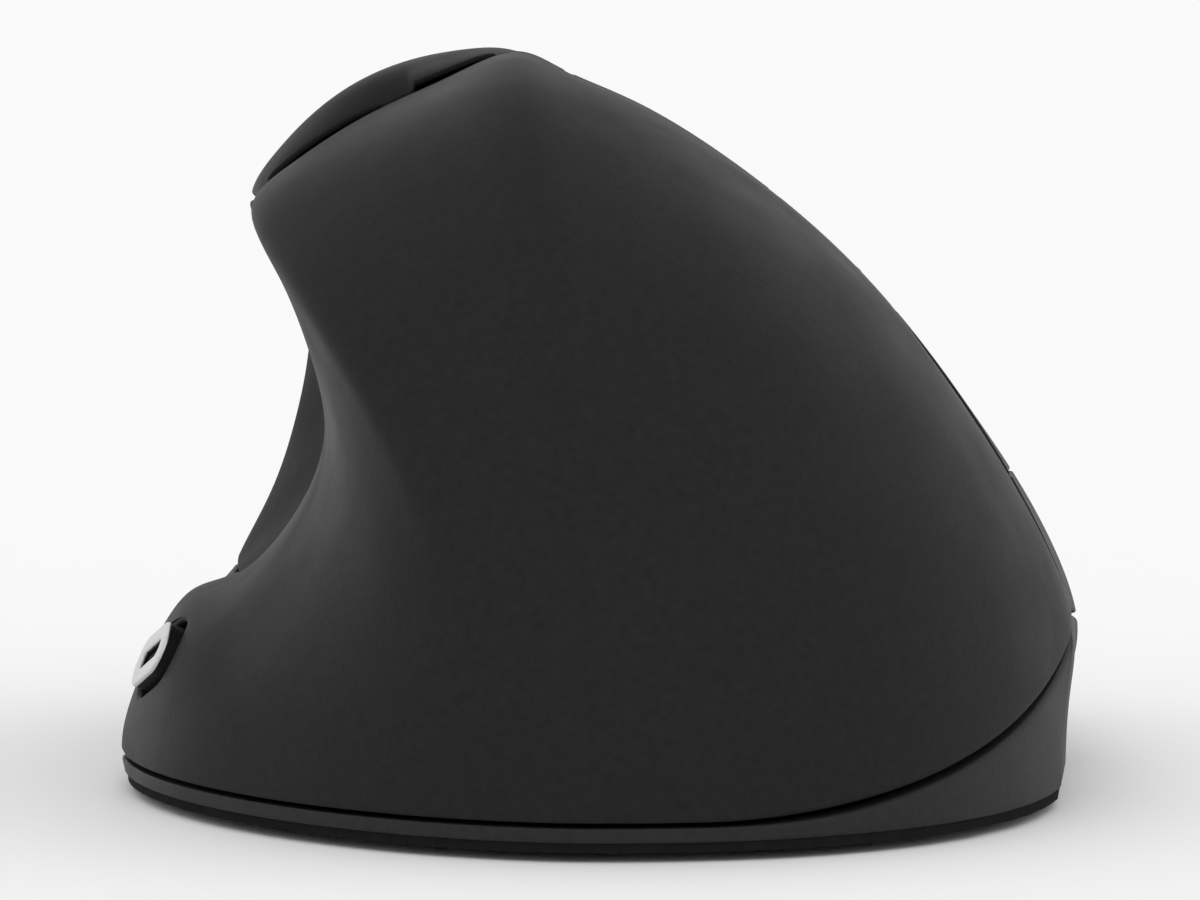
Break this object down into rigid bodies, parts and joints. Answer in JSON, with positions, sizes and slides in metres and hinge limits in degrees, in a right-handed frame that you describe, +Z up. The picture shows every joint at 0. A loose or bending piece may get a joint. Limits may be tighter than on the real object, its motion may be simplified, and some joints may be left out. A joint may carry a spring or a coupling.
{
  "type": "vertical ergonomic mouse",
  "caption": "Right-handed upright computer mouse with a palm shell, thumb scoop, sloped finger buttons, scroll wheel, thumb keys and a ring-shaped side key.",
  "frame": {"origin": "on the desk under the middle of the body, level with the glide feet's undersides", "axes": "+X towards the finger side, +Y forward to the nose, +Z up"},
  "size_m": [0.0841, 0.12, 0.064],
  "materials": {
    "soft_black": "soft-touch matte coating",
    "thumb_rubber": "fine-grained rubber",
    "cap_black": "fine matte",
    "key_black": "fine matte",
    "button_black": "soft-touch matte coating",
    "satin_silver": "satin",
    "insert_black": "matte",
    "gloss_black": "gloss",
    "base_grey": "fine matte",
    "plate_black": "fine texture",
    "glide": "smooth low-friction",
    "steel": "plain",
    "frame_plastic": "as moulded",
    "board_green": "solder mask",
    "switch_black": "as moulded",
    "plunger_white": "smooth",
    "tyre_rubber": "ribbed rubber",
    "encoder_blue": "as moulded",
    "lens_clear": "clear",
    "cell_wrap": "printed sleeve, plain",
    "slider_grey": "fine matte",
    "ribbon_white": "flat film"
  },
  "bodies": {
    "case": {"palm_shell": "soft_black", "thumb_panel": "thumb_rubber", "top_cap": "cap_black", "wheel_bezel": "gloss_black", "finger_rest": "button_black", "nose_panel": "soft_black", "base_frame": "base_grey", "bottom_plate": "plate_black", "glide_feet": "glide", "case_screws": "steel", "inner_frame": "frame_plastic", "pivot_rod": "steel", "finger_board": "board_green", "left_switch": "switch_black", "right_switch": "switch_black", "middle_switch": "switch_black", "cradle_pin": "steel", "wheel_encoder": "encoder_blue", "thumb_board": "board_green", "back_switch": "switch_black", "forward_switch": "switch_black", "speed_board": "board_green", "speed_switch": "switch_black", "main_board": "board_green", "sensor_chip": "switch_black", "sensor_lens": "lens_clear", "battery_cell": "cell_wrap", "contact_spring": "steel", "contact_plate": "steel", "power_switch": "steel", "finger_ribbon": "ribbon_white", "thumb_ribbon": "ribbon_white", "board_screws": "steel"},
    "left_key_body": {"left_button": "button_black", "left_plunger": "plunger_white"},
    "right_key_body": {"right_button": "button_black", "right_plunger": "plunger_white"},
    "cradle_body": {"wheel_cradle": "frame_plastic", "middle_plunger": "plunger_white"},
    "wheel_body": {"wheel_tyre": "tyre_rubber", "wheel_hub": "frame_plastic", "wheel_axle": "steel", "encoder_rotor": "plunger_white"},
    "back_key_body": {"back_key": "key_black", "back_plunger": "plunger_white"},
    "forward_key_body": {"forward_key": "key_black", "forward_plunger": "plunger_white"},
    "speed_key_body": {"speed_ring": "satin_silver", "speed_insert": "insert_black", "speed_plunger": "plunger_white"},
    "slider_body": {"power_slider": "slider_grey"},
    "door_body": {"battery_door": "plate_black"}
  },
  "joints": [
    {"name": "left_click", "type": "hinge", "parent": "case", "child": "left_key_body", "pos_m": [0.01622, -0.004, 0.03932], "axis": [-0.7548, 0, 0.656], "range_deg": [0, 0.7], "stiffness_Nm_per_rad": 0.5, "springref_deg": -1.72},
    {"name": "right_click", "type": "hinge", "parent": "case", "child": "right_key_body", "pos_m": [0.01622, -0.004, 0.03932], "axis": [-0.7548, 0, 0.656], "range_deg": [0, 0.7], "stiffness_Nm_per_rad": 0.5, "springref_deg": -1.72},
    {"name": "wheel_press", "type": "hinge", "parent": "case", "child": "cradle_body", "pos_m": [0.01389, 0.0065, 0.03664], "axis": [-0.7548, 0, 0.656], "range_deg": [0, 1.1], "stiffness_Nm_per_rad": 0.6, "springref_deg": -1.72},
    {"name": "wheel_spin", "type": "hinge", "parent": "cradle_body", "child": "wheel_body", "pos_m": [0.01389, 0.022, 0.03664], "axis": [0.7548, 0, -0.656], "continuous": true},
    {"name": "back_press", "type": "slide", "parent": "case", "child": "back_key_body", "axis": [0.6543, 0, -0.7562], "range_m": [0, 0.0003], "stiffness_N_per_m": 700, "springref_m": -0.0006},
    {"name": "forward_press", "type": "slide", "parent": "case", "child": "forward_key_body", "axis": [0.6543, 0, -0.7562], "range_m": [0, 0.0003], "stiffness_N_per_m": 700, "springref_m": -0.0006},
    {"name": "speed_press", "type": "slide", "parent": "case", "child": "speed_key_body", "axis": [0.8989, 0.1855, -0.397], "range_m": [0, 0.0005], "stiffness_N_per_m": 700, "springref_m": -0.0006},
    {"name": "power_slide", "type": "slide", "parent": "case", "child": "slider_body", "axis": [0, 1, 0], "range_m": [0, 0.003]},
    {"name": "door_lift_out", "type": "slide", "parent": "case", "child": "door_body", "axis": [0, 0, -1], "range_m": [0, 0.012]}
  ]
}
